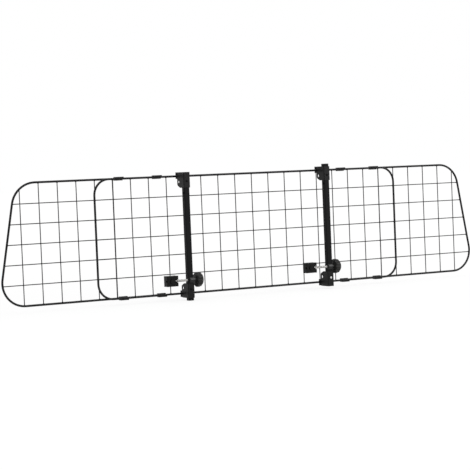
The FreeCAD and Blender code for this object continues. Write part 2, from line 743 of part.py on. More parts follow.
def make_knob(side_name, x, z):
    """The star knob, turned about the stud's axis, with flutes between its lobes."""
    label = f"{side_name}_star_knob"
    body = new_body(label)
    rim, hub = size("knob_width") / 2, size("hub_width") / 2
    star_start = hub_start + size("knob_hub")
    star_end = star_start + size("knob_thick")
    bevel, crown = size("knob_round"), size("knob_crown")
    dish = size("dish_width") / 2
    profile = new_sketch(body, f"{label}_profile", "XY_Plane")
    draw_outline(profile, [
        (hub_start, ZERO), (hub_start, hub), (star_start, hub + bevel),
        (star_start, rim - bevel), (star_start + bevel, rim), (star_end - crown, rim),
        (star_end, rim - crown), (star_end, dish), (star_end - size("knob_dish"), dish - bevel),
        (star_end - size("knob_dish"), ZERO)])
    turned = body.newObject("PartDesign::Revolution", f"{label}_turned")
    turned.Profile = profile
    turned.ReferenceAxis = (origin_plane(body, "X_Axis"), [""])
    turned.Angle = WHOLE_TURN
    DOC.recompute()
    flute = new_sketch(body, f"{label}_flute", "YZ_Plane", star_start - size("overrun"))
    flute_centre = rim + size("flute_width") / 2 - size("flute_bite")
    flute_angle = math.radians(size("lobe_turn").number - WHOLE_TURN / LOBE_COUNT / 2)
    draw_circle(flute, flute_centre * -math.cos(flute_angle),
                flute_centre * -math.sin(flute_angle), size("flute_width") / 2)
    cut = pocket(body, f"{label}_flute_cut", flute,
                 size("knob_thick") + size("overrun") * 2, reverse=True)
    flutes = body.newObject("PartDesign::PolarPattern", f"{label}_flutes")
    flutes.Originals = [cut]
    flutes.Axis = (origin_plane(body, "X_Axis"), [""])
    flutes.Angle = WHOLE_TURN
    flutes.Occurrences = LOBE_COUNT
    body.Tip = flutes
    DOC.recompute()
    bore = new_sketch(body, f"{label}_bore", "YZ_Plane", hub_start)
    draw_circle(bore, ZERO, ZERO, size("bolt_width") / 2)
    pocket(body, f"{label}_bore_cut", bore, size("bolt_grip"), reverse=True)
    place(body, x, bolt_y, z)
    return body


def make_stud(side_name, x, z):
    """The threaded stud, moulded into the knob; its thread is left plain."""
    label = f"{side_name}_clamp_stud"
    start = x + hub_start + size("bolt_grip")
    length = size("bolt_length") + size("bolt_grip") - size("stud_chamfer")
    rod = cylinder(f"{label}_rod", size("bolt_width") / 2, length, start, bolt_y, z,
                   Y_AXIS, -QUARTER_TURN)
    tip = DOC.addObject("Part::Cone", f"{label}_tip")
    bind(tip, "Radius1", size("bolt_width") / 2)
    bind(tip, "Radius2", size("bolt_width") / 2 - size("stud_chamfer"))
    bind(tip, "Height", size("stud_chamfer"))
    place(tip, start - length, bolt_y, z, Y_AXIS, -QUARTER_TURN)
    stud = DOC.addObject("Part::Fuse", label)
    stud.Label = label
    stud.Base = rod
    stud.Tool = tip
    return stud


def make_saddle(side_name, x, z):
    """A round puck with flats above and below, cut out so that it straddles the tube."""
    label = f"{side_name}_clamp_saddle"
    body = new_body(label)
    round_half, flat_half = size("saddle_width") / 2, size("saddle_height") / 2
    channel_half = half_tube + size("saddle_play")
    start = -size("saddle_reach")
    disc = new_sketch(body, f"{label}_disc", "YZ_Plane", start)
    draw_circle(disc, ZERO, ZERO, round_half)
    pad(body, f"{label}_puck", disc, washer_start - start)
    flats = new_sketch(body, f"{label}_flats", "YZ_Plane", start)
    wide = round_half + size("overrun")
    for low, high in ((flat_half, wide), (-wide, -flat_half)):
        draw_outline(flats, box_corners(-wide, wide, low, high))
    pocket(body, f"{label}_flats_cut", flats, washer_start - start, reverse=True)
    channel = new_sketch(body, f"{label}_channel", "XY_Plane")
    draw_outline(channel, box_corners(start - size("overrun"), channel_half,
                                      -channel_half, channel_half))
    pocket(body, f"{label}_channel_cut", channel, wide * 2, midplane=True)
    bore = new_sketch(body, f"{label}_bore", "YZ_Plane", washer_start)
    draw_circle(bore, -size("bolt_forward"), ZERO, size("bolt_width") / 2 + size("bolt_play"))
    pocket(body, f"{label}_bore_cut", bore, size("saddle_floor") + size("overrun"))
    place(body, x, post_y, z)
    return body


def make_washer(side_name, x, z):
    label = f"{side_name}_knob_washer"
    disc = cylinder(f"{label}_disc", size("washer_width") / 2, size("washer_thick"),
                    x + washer_start, bolt_y, z, Y_AXIS, QUARTER_TURN)
    hole = cylinder(f"{label}_hole", size("bolt_width") / 2, size("washer_thick"),
                    x + washer_start, bolt_y, z, Y_AXIS, QUARTER_TURN)
    washer = DOC.addObject("Part::Cut", label)
    washer.Label = label
    washer.Base = disc
    washer.Tool = hole
    return washer


def make_jaw(side_name, x, z):
    """The clamp jaw: a block with a groove for the headrest post and a captive nut."""
    label = f"{side_name}_clamp_jaw"
    body = new_body(label)
    length, height = size("jaw_length"), size("jaw_height")
    front, back = -size("jaw_front"), size("jaw_back")
    hole_half = size("bolt_width") / 2 + size("bolt_play")
    plan = new_sketch(body, f"{label}_plan", "XY_Plane")
    draw_outline(plan, box_corners(-length, ZERO, front, back))
    block = pad(body, f"{label}_block", plan, height, midplane=True)
    rounded = round_edges(body, f"{label}_corners", block, upright_edge, size("jaw_corner"))
    boss = new_sketch(body, f"{label}_boss", "XZ_Plane", ZERO)
    draw_circle(boss, -size("nut_inset"), ZERO, size("boss_width") / 2)
    pad(body, f"{label}_boss_pad", boss, size("jaw_front") + size("boss_height"))
    bore = new_sketch(body, f"{label}_bore", "YZ_Plane")
    draw_circle(bore, ZERO, ZERO, hole_half)
    pocket(body, f"{label}_bore_cut", bore, length)
    slot = new_sketch(body, f"{label}_slot", "YZ_Plane")
    half_slot = size("jaw_slot_height") / 2
    draw_outline(slot, box_corners(front - size("overrun"), hole_half, -half_slot, half_slot))
    pocket(body, f"{label}_slot_cut", slot, size("jaw_slot_length"))
    groove = new_sketch(body, f"{label}_groove", "XY_Plane")
    rod_half = size("rod_width") / 2
    rod_back = size("bolt_width") / 2 + size("rod_gap") + rod_half
    draw_circle(groove, rod_half - size("groove_depth"), rod_back, rod_half)
    pocket(body, f"{label}_groove_cut", groove, height + size("overrun"), midplane=True)
    nut_slot = new_sketch(body, f"{label}_nut_slot", "YZ_Plane",
                          -size("nut_inset") - size("nut_thick") / 2 - size("nut_play"))
    half_nut = size("nut_width") / 2 + size("nut_play")
    nut_point = size("nut_width") * hexagon_reach + size("nut_play")
    draw_outline(nut_slot, box_corners(-nut_point, back, -half_nut, half_nut))
    pocket(body, f"{label}_nut_slot_cut", nut_slot,
           size("nut_thick") + size("nut_play") * 2, reverse=True)
    place(body, x, bolt_y, z)
    return body


def make_nut(side_name, x, z):
    """The hexagon nut that the jaw holds; its thread is left plain."""
    label = f"{side_name}_jaw_nut"
    prism = DOC.addObject("Part::Prism", f"{label}_hexagon")
    prism.Polygon = HEXAGON_SIDE_COUNT
    bind(prism, "Circumradius", size("nut_width") * hexagon_reach)
    bind(prism, "Height", size("nut_thick"))
    start = x - size("nut_inset") - size("nut_thick") / 2
    place(prism, start, bolt_y, z, Y_AXIS, QUARTER_TURN)
    prism.Placement.Rotation = FreeCAD.Rotation(X_AXIS, QUARTER_TURN).multiply(
        FreeCAD.Rotation(Y_AXIS, QUARTER_TURN))
    hole = cylinder(f"{label}_hole", size("bolt_width") / 2 + size("nut_play") / 2,
                    size("nut_thick"), start, bolt_y, z, Y_AXIS, QUARTER_TURN)
    nut = DOC.addObject("Part::Cut", label)
    nut.Label = label
    nut.Base = prism
    nut.Tool = hole
    return nut


def make_upright(side_name, side):
    """One upright with its two hooks and its clamp; the right one stands upside down."""
    x = panel_x + size("post_spacing") * side / 2
    flip = -side
    stud_z = size("bolt_height")
    if flip < 0:
        stud_z = middle_z - hook_top + size("bolt_height")
    jaw_x = x - size(f"{side_name}_jaw_opening")
    clamp_x = x + size(f"{side_name}_clamp_slack")
    return [
        make_tube(side_name, x, flip),
        make_cap(side_name, x, flip),
        make_hook(f"{side_name}_fixed_hook", x, flip, False),
        make_hook_screw(f"{side_name}_fixed_hook_screw", x, flip, size("screw_length")),
        make_hook(f"{side_name}_slide_hook", x, -flip, True),
        make_hook_screw(f"{side_name}_slide_hook_screw", x, -flip,
                        size("hook_play") + size("hook_wall")),
        make_stud(side_name, clamp_x, stud_z),
        make_knob(side_name, clamp_x, stud_z),
        make_washer(side_name, clamp_x, stud_z),
        make_saddle(side_name, clamp_x, stud_z),
        make_jaw(side_name, jaw_x, stud_z),
        make_nut(side_name, jaw_x, stud_z),
    ]


def check(nodes):
    """Stop before anything is written if an object failed."""
    for item in DOC.Objects:
        if "Invalid" in item.State or "Error" in item.State:
            raise RuntimeError(f"{item.Label} failed: {item.State}")
    for node in nodes:
        if node.Shape.isNull() or not node.Shape.isValid():
            raise RuntimeError(f"{node.Label} has no valid shape")


def main():
    nodes = [make_centre_frame()] + make_centre_mesh()
    for side_name, side in (("left", -1), ("right", 1)):
        nodes.append(make_wing_frame(side_name, side))
        nodes += make_wing_mesh(side_name, side)
        nodes += make_clips(side_name, side)
        nodes += make_upright(side_name, side)
    DOC.recompute()
    check(nodes)
    os.makedirs("parts", exist_ok=True)
    for node in nodes:
        shape = node.Shape
        print(f"{node.Label}: {len(shape.Solids)} solids, {shape.Volume:.1f} mm3")
        shape.exportStep(f"parts/{node.Label}.step")


main()
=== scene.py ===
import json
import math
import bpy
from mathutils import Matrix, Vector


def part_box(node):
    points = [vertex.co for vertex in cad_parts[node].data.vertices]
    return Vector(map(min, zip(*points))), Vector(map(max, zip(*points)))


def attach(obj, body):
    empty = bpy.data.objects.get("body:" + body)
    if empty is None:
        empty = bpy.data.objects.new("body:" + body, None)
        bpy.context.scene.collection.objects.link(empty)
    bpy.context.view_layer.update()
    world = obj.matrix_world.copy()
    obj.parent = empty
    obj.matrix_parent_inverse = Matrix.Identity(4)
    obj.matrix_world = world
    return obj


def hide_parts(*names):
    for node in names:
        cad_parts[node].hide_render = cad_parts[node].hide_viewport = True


bl_info = {
    "name": "Car Dog Guard",
    "version": (1, 0, 0),
    "blender": (4, 5, 0),
    "location": "View3D > Sidebar > Dog Guard",
    "description": "Dresses an extending wire guard: coats, welds, threads and moulded parts",
    "category": "Object",
}

from contextlib import contextmanager

import bmesh
import bpy
from mathutils import Vector

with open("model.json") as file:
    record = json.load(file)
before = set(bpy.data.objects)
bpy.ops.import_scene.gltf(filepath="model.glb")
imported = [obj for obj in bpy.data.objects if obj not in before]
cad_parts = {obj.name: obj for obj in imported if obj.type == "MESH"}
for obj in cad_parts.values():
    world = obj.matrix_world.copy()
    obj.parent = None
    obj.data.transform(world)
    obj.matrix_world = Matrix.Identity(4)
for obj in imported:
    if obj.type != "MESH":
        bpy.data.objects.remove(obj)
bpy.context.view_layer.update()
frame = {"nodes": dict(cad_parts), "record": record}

MM = 0.001
QUARTER = math.pi / 2

# What the CAD model holds
SIDES = ("left", "right")
CENTRE_UPRIGHTS = 17
WING_UPRIGHTS = 6
CROSSES = 5
LOBES = 9
LOBE_TURN = 16.0  # degrees

# How faces, edges and corners are told apart
FACING = 0.9  # least length of a unit normal along an axis for a face that looks that way
CLOSE = 0.01 * MM  # how near to a plane something has to be to count as lying on it
MERGE = 0.002 * MM  # corners of a CAD mesh that are nearer than this are one
FLAT = 0.6  # degrees between faces of a CAD mesh that are one flat face
SMOOTH = 35  # degrees up to which two faces are shaded as one surface

# The studio: each lamp's name, place, width and power
LAMPS = (
    ("key", (-1.2, -3.2, 2.6), 2.4, 46.0),
    ("fill", (2.2, -3.0, 1.4), 2.4, 85.0),
    ("top", (0.0, 0.6, 3.0), 3.0, 45.0),
)
FLOOR_WIDTH = 60.0
FLOOR_GLOW = 1.035  # a little over 1, so that the floor is white despite the share below
FLOOR_GLOW_FAR, FLOOR_GLOW_FADE = 0.97, 0.17  # the glow's share far away; how much less near by
FLOOR_NEAR = 2.5  # radius of what counts as near by
WORLD_WHITE, WORLD_DIM = 1.0, 0.33  # strength where it is seen, and where it only lights

# The photo's camera, from a fit to the mesh wires: its place from the panel's middle, its turn
CAMERA_STEP = Vector((-1.9515, -3.5499, 0.1609))
CAMERA_TURN = (87.5762, 2.3743, -28.2098)
CAMERA_LENS = 117.27
SENSOR_WIDTH = 36.0


def length(name, description, default):
    return bpy.props.FloatProperty(name=name, description=description, default=default,
                                   min=0.0, unit="LENGTH", precision=5)


def colour(name, description, default):
    return bpy.props.FloatVectorProperty(name=name, description=description, default=default,
                                         size=3, min=0.0, max=1.0, subtype="COLOR")


class GuardSizes(bpy.types.PropertyGroup):
    """Sizes of the details that the CAD leaves plain."""

    hook_edge: length("Hook edges", "Rounding of the hooks' moulded edges", 0.45 * MM)
    clip_edge: length("Clip edges", "Rounding of the slide clips' edges", 0.3 * MM)
    jaw_edge: length("Jaw edges", "Rounding of the clamp jaws' edges", 0.5 * MM)
    saddle_round: length("Saddle shoulder", "Rounding of the saddle's outer rim", 3.0 * MM)
    metal_edge: length("Metal edges", "Broken edge of nuts and washers", 0.25 * MM)
    spot_radius: length("Spot weld", "Radius of the weld where two mesh wires cross", 1.0 * MM)
    collar_radius: length("Weld collar", "Foot radius of the weld round a wire's end", 2.1 * MM)
    collar_height: length("Collar height", "Height of the weld round a wire's end", 1.6 * MM)
    thread_pitch: length("Thread pitch", "Pitch of the clamp stud's thread", 1.0 * MM)
    thread_depth: length("Thread depth", "Depth of the clamp stud's thread", 0.61 * MM)
    stud_tip: length("Stud tip", "Length of the taper at the stud's tip", 0.8 * MM)
    head_height: length("Screw head", "Height of a pan screw's head", 2.0 * MM)
    head_round: length("Head rounding", "Rounding of a pan screw's head", 1.1 * MM)
    shank_radius: length("Screw shank", "Radius of a pan screw's shank", 1.45 * MM)
    recess_length: length("Recess length", "Length of each bar of the cross recess", 3.4 * MM)
    recess_depth: length("Recess depth", "Depth of the cross recess, both ways", 2.6 * MM)
    recess_width: length("Recess width", "Width of each bar of the cross recess", 0.75 * MM)
    knob_edge: length("Knob edges", "Rounding of the star knob's lobes and rims", 1.5 * MM)
    knob_crown: length("Knob crown", "Chamfer round the rim of the knob's outer face", 5.0 * MM)
    knob_round: length("Knob round", "Chamfer round the rim of the knob's inner face", 2.0 * MM)
    knob_draft: length("Knob draft", "How far the knob bulges at its parting line", 0.15 * MM)
    flute_radius: length("Flute radius", "Radius of the flutes between two lobes", 4.5 * MM)
    flute_bite: length("Flute depth", "Depth of the flutes between two lobes", 3.0 * MM)
    dish_radius: length("Dish radius", "Radius of the dish in the knob's outer face", 10.0 * MM)
    dish_depth: length("Dish depth", "Depth of that dish", 2.0 * MM)
    plug_edge: length("Plug edge", "Rounding of the plug in the dish", 0.5 * MM)
    hub_radius: length("Hub radius", "Radius of the knob's hub at its washer", 8.5 * MM)
    hub_height: length("Hub height", "Height of the hub under the star", 0.8 * MM)
    hub_flare: length("Hub flare", "How much wider the hub is at the star", 2.5 * MM)


class GuardColours(bpy.types.PropertyGroup):
    """Base colours of the finishes."""

    coat: colour("Wire coat", "Satin black coat on the wires", (0.006, 0.006, 0.0065))
    post: colour("Upright coat", "Textured black coat on the uprights", (0.007, 0.007, 0.0073))
    plastic: colour("Moulded black", "Plastic of hooks, clips and caps", (0.006, 0.006, 0.006))
    jaw: colour("Jaw black", "Plastic of the clamps' jaws and saddles", (0.0045, 0.0045, 0.0043))
    knob: colour("Knob black", "Greyer plastic of the star knobs", (0.016, 0.016, 0.0155))
    zinc: colour("Zinc", "Plated steel of studs, nuts and washers", (0.5, 0.5, 0.5))
    floor: colour("Floor", "The plain pale floor", (0.86, 0.86, 0.86))


class Signal:
    """An output socket that takes part in Python arithmetic."""

    def __init__(self, finish, socket):
        self.finish = finish
        self.socket = socket

    def maths(self, operation, first, second):
        return self.finish.node("ShaderNodeMath", {"operation": operation},
                                {0: first, 1: second})["Value"]

    def __add__(self, other):
        return self.maths("ADD", self, other)

    def __radd__(self, other):
        return self.maths("ADD", other, self)

    def __sub__(self, other):
        return self.maths("SUBTRACT", self, other)

    def __rsub__(self, other):
        return self.maths("SUBTRACT", other, self)

    def __mul__(self, other):
        return self.maths("MULTIPLY", self, other)

    def __rmul__(self, other):
        return self.maths("MULTIPLY", other, self)


class Finish:
    """The node tree of one material or of the world."""

    def __init__(self, owner):
        owner.use_nodes = True
        self.owner = owner
        self.tree = owner.node_tree
        self.tree.nodes.clear()

    def node(self, kind, settings=None, values=None):
        """Add a node, set it up, fill its sockets and return its outputs by name."""
        item = self.tree.nodes.new(kind)
        for key, value in (settings or {}).items():
            if key == "stops":
                self.fill_ramp(item.color_ramp, value)
            else:
                setattr(item, key, value)
        for key, value in (values or {}).items():
            if isinstance(value, Signal):
                self.tree.links.new(value.socket, item.inputs[key])
            else:
                item.inputs[key].default_value = value
        return {socket.name: Signal(self, socket) for socket in item.outputs if socket.enabled}

    @staticmethod
    def fill_ramp(ramp, stops):
        while len(ramp.elements) < len(stops):
            ramp.elements.new(1.0)
        for element, (place, shade) in zip(ramp.elements, stops):
            element.position = place
            element.color = (shade, shade, shade, 1.0)

    def here(self):
        return self.node("ShaderNodeTexCoord")["Object"]

    def noise(self, place, scale, detail=2.0):
        return self.node("ShaderNodeTexNoise", None,
                         {"Vector": place, "Scale": scale, "Detail": detail})["Fac"]

    def stretch(self, place, scale):
        return self.node("ShaderNodeMapping", None, {"Vector": place, "Scale": scale})["Vector"]

    def blend(self, share, first, second):
        """A colour between two colours; the share may vary over the surface."""
        return self.node("ShaderNodeMix", {"data_type": "RGBA"},
                         {0: share, 6: first, 7: second})["Result"]

    def bump(self, height, depth, strength):
        return self.node("ShaderNodeBump", None,
                         {"Height": height, "Distance": depth, "Strength": strength})["Normal"]

    def shows_background(self):
        """1 for rays from the camera, off a gloss or through glass, which see plain white."""
        ray = self.node("ShaderNodeLightPath")
        return ray["Is Camera Ray"] + ray["Is Glossy Ray"] + ray["Is Transmission Ray"]

    def surface(self, shader, kind="ShaderNodeOutputMaterial"):
        self.node(kind, None, {"Surface": shader})
        return self.owner


def tone(shade, factor=1.0):
    """A base colour made darker or lighter, as a socket takes it."""
    return (shade[0] * factor, shade[1] * factor, shade[2] * factor, 1.0)


def swing(pattern, reach):
    """A pattern from 0 to 1 as a change that goes half the reach either way."""
    return (pattern - 0.5) * reach


def powder_coat(name, shade, roughness, gloss, lump, depth):
    """Baked powder: an orange-peel skin, a fine grit and slow changes of gloss."""
    finish = Finish(bpy.data.materials.new(name))
    here = finish.here()
    peel = finish.noise(here, 1 / lump)
    grit = finish.noise(here, 5 / lump, 1.0)
    cloud = finish.noise(here, 22.0, 3.0)
    shader = finish.node("ShaderNodeBsdfPrincipled", None, {
        "Base Color": finish.blend(grit * 0.5 + cloud * 0.5, tone(shade, 0.7), tone(shade, 1.4)),
        "Roughness": roughness + swing(peel, 0.16) + swing(cloud, 0.12),
        "Specular IOR Level": gloss,
        "Normal": finish.bump(peel * 0.75 + grit * 0.25, depth, 0.6)})["BSDF"]
    return finish.surface(shader)


def moulded_plastic(name, shade, roughness, gloss, grain, depth):
    """Injection-moulded plastic: spark-eroded grain with faint flow marks."""
    finish = Finish(bpy.data.materials.new(name))
    here = finish.here()
    pits = finish.noise(here, 1 / grain, 3.0)
    flow = finish.noise(finish.stretch(here, (14.0, 14.0, 60.0)), 1.0)
    shader = finish.node("ShaderNodeBsdfPrincipled", None, {
        "Base Color": finish.blend(pits * 0.4 + flow * 0.6, tone(shade, 0.75), tone(shade, 1.35)),
        "Roughness": roughness + swing(pits, 0.12) + swing(flow, 0.14),
        "Specular IOR Level": gloss,
        "Normal": finish.bump(pits, depth, 0.5)})["BSDF"]
    return finish.surface(shader)


def zinc_plate(name, shade):
    """Bright zinc: drawn streaks along X, a faint warm bloom and small tarnished spots."""
    finish = Finish(bpy.data.materials.new(name))
    here = finish.here()
    streaks = finish.noise(finish.stretch(here, (60.0, 2400.0, 2400.0)), 1.0, 3.0)
    bloom = finish.noise(here, 140.0)
    spots = finish.node("ShaderNodeValToRGB", {"stops": ((0.58, 0.0), (0.72, 1.0))},
                        {"Fac": finish.noise(here, 420.0, 4.0)})["Color"]
    warm = (shade[0], shade[1] * 0.975, shade[2] * 0.93, 1.0)
    plate = finish.blend(bloom, tone(shade), warm)
    shader = finish.node("ShaderNodeBsdfPrincipled", None, {
        "Base Color": finish.blend(spots * 0.35, plate, tone(shade, 0.55)),
        "Metallic": 1.0,
        "Roughness": 0.24 + streaks * 0.16 + spots * 0.12,
        "Normal": finish.bump(streaks, 0.02 * MM, 0.35)})["BSDF"]
    return finish.surface(shader)


def only(piece):
    """Select one object alone and make it active."""
    bpy.ops.object.select_all(action="DESELECT")
    piece.select_set(True)
    bpy.context.view_layer.objects.active = piece


def settle(piece):
    """Put the object's place, turn and size into its mesh."""
    only(piece)
    bpy.ops.object.transform_apply(location=True, rotation=True, scale=True)
    return piece


def added(operator, **settings):
    """Run an add operator with nothing else selected and return the new object."""
    bpy.ops.object.select_all(action="DESELECT")
    operator(**settings)
    return bpy.context.object


def blank(operator, **settings):
    """A new primitive to shape, with its place and turn already in its mesh."""
    return settle(added(operator, **settings))


@contextmanager
def editing(piece):
    """Edit mode on one piece alone."""
    only(piece)
    bpy.ops.object.mode_set(mode="EDIT")
    yield
    bpy.ops.object.mode_set(mode="OBJECT")


def pick(piece, kind, test):
    """In edit mode, select just the verts, edges or faces whose place passes a test."""
    bpy.ops.mesh.select_mode(type={"verts": "VERT", "edges": "EDGE", "faces": "FACE"}[kind])
    bpy.ops.mesh.select_all(action="DESELECT")
    mesh = bmesh.from_edit_mesh(piece.data)
    picked = 0
    for item in getattr(mesh, kind):
        if kind == "verts":
            chosen = test(item.co)
        elif kind == "edges":
            chosen = test((item.verts[0].co + item.verts[1].co) / 2)
        else:
            chosen = test(item.calc_center_median(), item.normal)
        if chosen:
            item.select_set(True)
            picked += 1
    if not picked:
        raise RuntimeError(f"{piece.name} has no {kind} where they are to be shaped")
    mesh.select_flush_mode()
    bmesh.update_edit_mesh(piece.data)


def extrude(move, spread=(1, 1, 1)):
    """In edit mode, extrude what is picked and widen or narrow its new end."""
    bpy.ops.mesh.extrude_region_move(TRANSFORM_OT_translate={"value": move})
    bpy.ops.transform.resize(value=spread)


def outward():
    """In edit mode, turn all faces outwards."""
    bpy.ops.mesh.select_all(action="SELECT")
    bpy.ops.mesh.normals_make_consistent(inside=False)


def apply_modifier(piece, kind, **settings):
    only(piece)
    modifier = piece.modifiers.new(kind.title(), kind)
    for key, value in settings.items():
        setattr(modifier, key, value)
    bpy.ops.object.modifier_apply(modifier=modifier.name)


def carve(piece, cutter):
    """Cut one piece out of another and throw the cutter away."""
    faces = len(piece.data.polygons)
    apply_modifier(piece, "BOOLEAN", operation="DIFFERENCE", object=cutter, solver="EXACT")
    if len(piece.data.polygons) in (0, faces):
        raise RuntimeError(f"{cutter.name} doesn't cut into {piece.name}")
    bpy.data.objects.remove(cutter)


def repeat(piece, count, step):
    """Copies in a row, a fixed step apart."""
    apply_modifier(piece, "ARRAY", count=count, use_relative_offset=False,
                   use_constant_offset=True, constant_offset_displace=step)


def soften(piece, width, segments=3):
    """Round the sharp edges a little, as a mould or a tumbler does."""
    apply_modifier(piece, "BEVEL", width=width, segments=segments, limit_method="ANGLE",
                   angle_limit=math.radians(38), harden_normals=False, use_clamp_overlap=True)
    apply_modifier(piece, "WEIGHTED_NORMAL", keep_sharp=True)


def turned_copy(piece, turn, place=(0, 0, 0)):
    """A copy with its own mesh, turned about the origin and then moved."""
    twin = bpy.data.objects.new(piece.name, piece.data.copy())
    bpy.context.scene.collection.objects.link(twin)
    twin.rotation_euler = turn
    twin.location = place
    return settle(twin)


def joined(pieces, name):
    """One object of several, which takes the name."""
    bpy.ops.object.select_all(action="DESELECT")
    for piece in pieces:
        piece.select_set(True)
    bpy.context.view_layer.objects.active = pieces[0]
    bpy.ops.object.join()
    pieces[0].name = name
    return settle(pieces[0])


def copy_of_node(node, name):
    """A merged copy of a CAD node's mesh with its flat faces whole again."""
    piece = bpy.data.objects.new(name, frame["nodes"][node].data.copy())
    bpy.context.scene.collection.objects.link(piece)
    with editing(piece):
        bpy.ops.mesh.select_all(action="SELECT")
        bpy.ops.mesh.remove_doubles(threshold=MERGE)
        bpy.ops.mesh.dissolve_limited(angle_limit=math.radians(FLAT))
    return piece


def hand_over(piece, body, slot, material, stands_for=(), smooth=SMOOTH):
    """Shade a finished piece, give it its material and let it ride on its body."""
    only(piece)
    bpy.ops.object.shade_smooth_by_angle(angle=math.radians(smooth))
    piece.data.materials.clear()
    piece.data.materials.append(bpy.data.materials[material])
    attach(piece, body)
    if stands_for:
        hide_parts(*stands_for)


class GuardOperator:
    """What all of the guard's operators share."""

    bl_options = {"REGISTER", "UNDO"}


class GUARD_OT_finishes(GuardOperator, bpy.types.Operator):
    """Make the finishes and give each CAD piece the one for its material slot"""

    bl_idname = "guard.finishes"
    bl_label = "Coats and Plastics"

    def execute(self, context):
        shades = context.scene.guard_colours
        by_slot = {
            "frame_coat": powder_coat("wire_coat", shades.coat, roughness=0.34, gloss=0.13,
                                      lump=1.1 * MM, depth=0.03 * MM),
            "post_coat": powder_coat("upright_coat", shades.post, roughness=0.46, gloss=0.045,
                                     lump=0.5 * MM, depth=0.05 * MM),
            "moulded_black": moulded_plastic("hook_plastic", shades.plastic, roughness=0.42,
                                             gloss=0.1, grain=0.35 * MM, depth=0.03 * MM),
            "knob_plastic": moulded_plastic("jaw_plastic", shades.jaw, roughness=0.38,
                                            gloss=0.08, grain=0.5 * MM, depth=0.02 * MM),
            "zinc_steel": zinc_plate("zinc_plate", shades.zinc),
        }
        moulded_plastic("saddle_plastic", shades.jaw, roughness=0.28, gloss=0.3,
                        grain=0.6 * MM, depth=0.012 * MM)
        moulded_plastic("star_plastic", shades.knob, roughness=0.45, gloss=0.16,
                        grain=0.6 * MM, depth=0.02 * MM)
        for row in frame["record"]["subparts"]:
            node = frame["nodes"][row["node"]]
            node.data.materials.clear()
            node.data.materials.append(by_slot[row["material_slot"]])
            only(node)
            bpy.ops.object.shade_smooth_by_angle(angle=math.radians(SMOOTH))
        return {"FINISHED"}


class GUARD_OT_welds(GuardOperator, bpy.types.Operator):
    """Add the weld nuggets at the crossings and the weld collars at the wires' ends"""

    bl_idname = "guard.welds"
    bl_label = "Welds"

    SPOT_DEPTH = 0.8  # in radii of the wire
    SPOT_FLARE = 1.35  # how much wider a nugget is at its ends than at its waist
    COLLAR_TOP = 1.08  # in radii of the wire
    COLLAR_WAIST = 0.6  # the waist's place between the collar's top and foot radius

    def weld_spot(self, radius, depth):
        """The squashed nugget between two crossing wires, which lies along Y."""
        spot = blank(bpy.ops.mesh.primitive_cylinder_add, vertices=8, radius=radius,
                     depth=depth, rotation=(QUARTER, 0, 0))
        with editing(spot):
            for way in (-1, 1):
                pick(spot, "faces", lambda middle, normal: normal.y * way > FACING)
                extrude((0, way * depth / 4, 0), (self.SPOT_FLARE, 1, self.SPOT_FLARE))
        return spot

    def weld_collar(self, foot, top, height):
        """The fillet of weld where a wire's end meets a thicker wire; it points up."""
        collar = blank(bpy.ops.mesh.primitive_cylinder_add, vertices=10, radius=foot,
                       depth=height / 2, location=(0, 0, height / 4))
        waist = top + (foot - top) * self.COLLAR_WAIST
        with editing(collar):
            for wide, narrow in ((foot, waist), (waist, top)):
                pick(collar, "faces", lambda middle, normal: normal.z > FACING)
                extrude((0, 0, height / 4), (narrow / wide, narrow / wide, 1))
        return collar

    @staticmethod
    def row(low, high, radius, count):
        """First place and step of equal wires that fill a box from side to side."""
        first = low + radius
        return first, (high - radius - first) / (count - 1)

    @staticmethod
    def ends_of_crosses(node, first, step, side):
        """Where each cross wire of a node ends on one side, from its own vertices."""
        reach = {}
        for vertex in frame["nodes"][node].data.vertices:
            row = round((vertex.co.z - first) / step)
            reach[row] = max(reach.get(row, -math.inf), vertex.co.x * side)
        return [(reach[row] * side, first + step * row) for row in sorted(reach)]

    def mesh_welds(self, sizes, part, body, count, collared, sides):
        """Weld one part's mesh: collared are the uprights that end on a straight rail."""
        crosses = f"{part}_cross_wires"
        low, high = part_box(f"{part}_upright_wires")
        cross_low, cross_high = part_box(crosses)
        radius = (high.y - low.y) / 2
        first_x, step_x = self.row(low.x, high.x, radius, count)
        first_z, step_z = self.row(cross_low.z, cross_high.z, radius, CROSSES)
        upright_y, cross_y = (low.y + high.y) / 2, (cross_low.y + cross_high.y) / 2

        spots = self.weld_spot(sizes.spot_radius, radius * self.SPOT_DEPTH)
        spots.location = (first_x, (upright_y + cross_y) / 2, first_z)
        settle(spots)
        repeat(spots, count, (step_x, 0, 0))
        repeat(spots, CROSSES, (0, 0, step_z))

        pieces = [spots]
        collar = self.weld_collar(sizes.collar_radius, radius * self.COLLAR_TOP,
                                  sizes.collar_height)
        start = first_x + step_x * collared.start
        for end_z, turn in ((low.z, (0, 0, 0)), (high.z, (math.pi, 0, 0))):
            pieces.append(turned_copy(collar, turn, (start, upright_y, end_z)))
            repeat(pieces[-1], len(collared), (step_x, 0, 0))
        for side in sides:
            turn = (0, -side * QUARTER, 0)
            for end_x, end_z in self.ends_of_crosses(crosses, first_z, step_z, side):
                pieces.append(turned_copy(collar, turn, (end_x, cross_y, end_z)))
        bpy.data.objects.remove(collar)
        hand_over(joined(pieces, f"{part}_welds"), body, "frame_coat", "wire_coat", smooth=60)

    def execute(self, context):
        sizes = context.scene.guard_sizes
        self.mesh_welds(sizes, "centre", "centre_panel", CENTRE_UPRIGHTS,
                        range(CENTRE_UPRIGHTS), (-1, 1))
        # A wing's outermost upright ends in the corner bends, so it gets no collar
        self.mesh_welds(sizes, "left_wing", "left_wing", WING_UPRIGHTS,
                        range(1, WING_UPRIGHTS), (-1,))
        self.mesh_welds(sizes, "right_wing", "right_wing", WING_UPRIGHTS,
                        range(WING_UPRIGHTS - 1), (1,))
        return {"FINISHED"}


